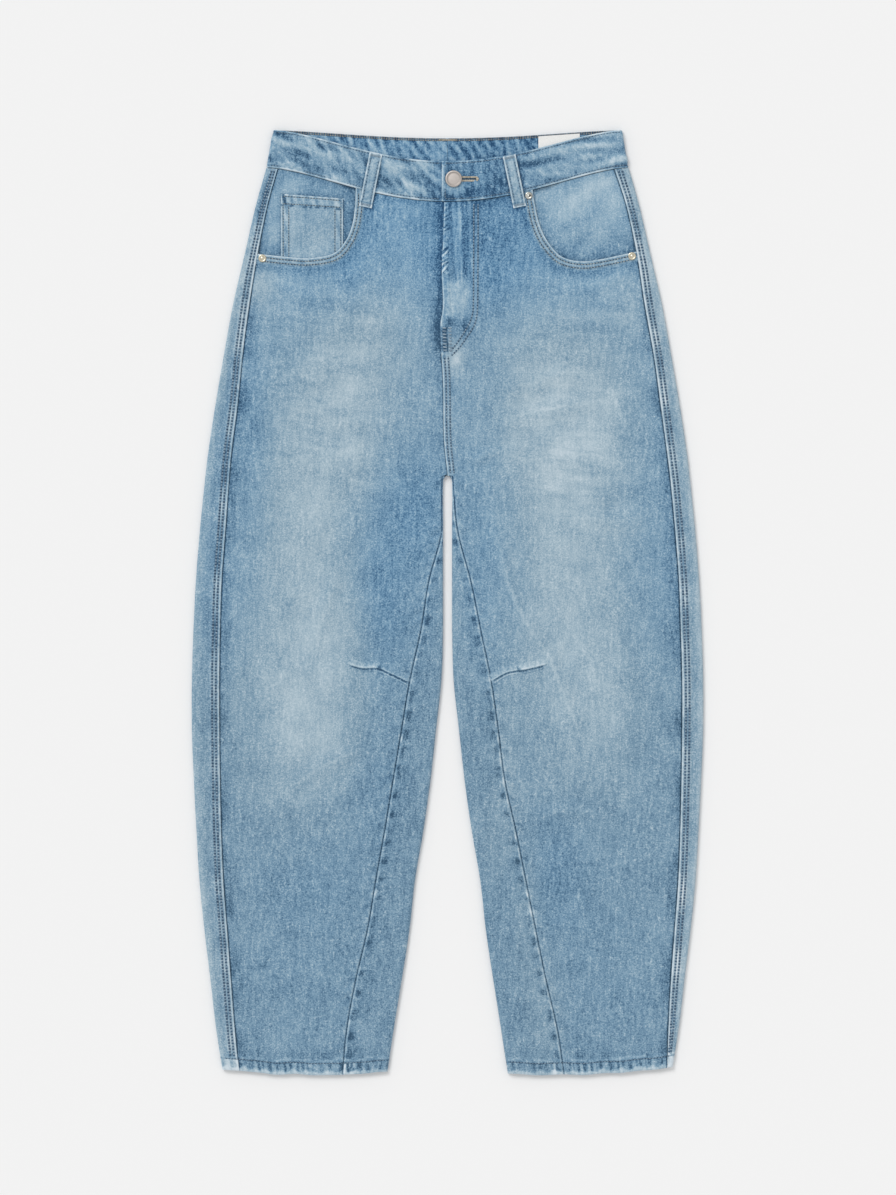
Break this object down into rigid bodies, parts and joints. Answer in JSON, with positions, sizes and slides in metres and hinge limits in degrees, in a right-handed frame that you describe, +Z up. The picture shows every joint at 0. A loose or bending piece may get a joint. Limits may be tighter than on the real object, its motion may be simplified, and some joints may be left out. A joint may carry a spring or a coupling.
{
  "type": "barrel leg trousers",
  "caption": "Light-wash denim trousers with high waist and curved barrel legs, fastened and laid flat with the front up.",
  "frame": {"origin": "on the surface that the trousers lie on, under the middle of their bounding box", "axes": "+X to the right as seen from above, +Y towards the waist, +Z up from the surface, out of the front of the garment"},
  "size_m": [0.5436, 1.0036, 0.0117],
  "materials": {
    "denim": "light-wash right-hand twill denim, faded on thighs and knees, matt",
    "thread": "matt tan sewing thread",
    "zip_brass": "satin brass teeth on cotton tape",
    "button_metal": "satin pale copper-silver cap",
    "rivet_gold": "satin pale gold",
    "rivet_silver": "polished silver",
    "label_white": "bare white woven tape"
  },
  "bodies": {
    "root": {"front_panel_left": "denim", "front_panel_right": "denim", "back_panel_left": "denim", "back_panel_right": "denim", "waistband_left": "denim", "waistband_right": "denim", "pocket_facing_left": "denim", "pocket_facing_right": "denim", "coin_pocket": "denim", "back_pocket_left": "denim", "back_pocket_right": "denim", "belt_loop_front_left": "denim", "belt_loop_front_right": "denim", "belt_loop_back_left": "denim", "belt_loop_back_centre": "denim", "belt_loop_back_right": "denim", "zip": "zip_brass", "button": "button_metal", "rivet_left_lower": "rivet_gold", "rivet_right_lower": "rivet_gold", "rivet_right_upper": "rivet_silver", "label": "label_white"}
  },
  "joints": []
}
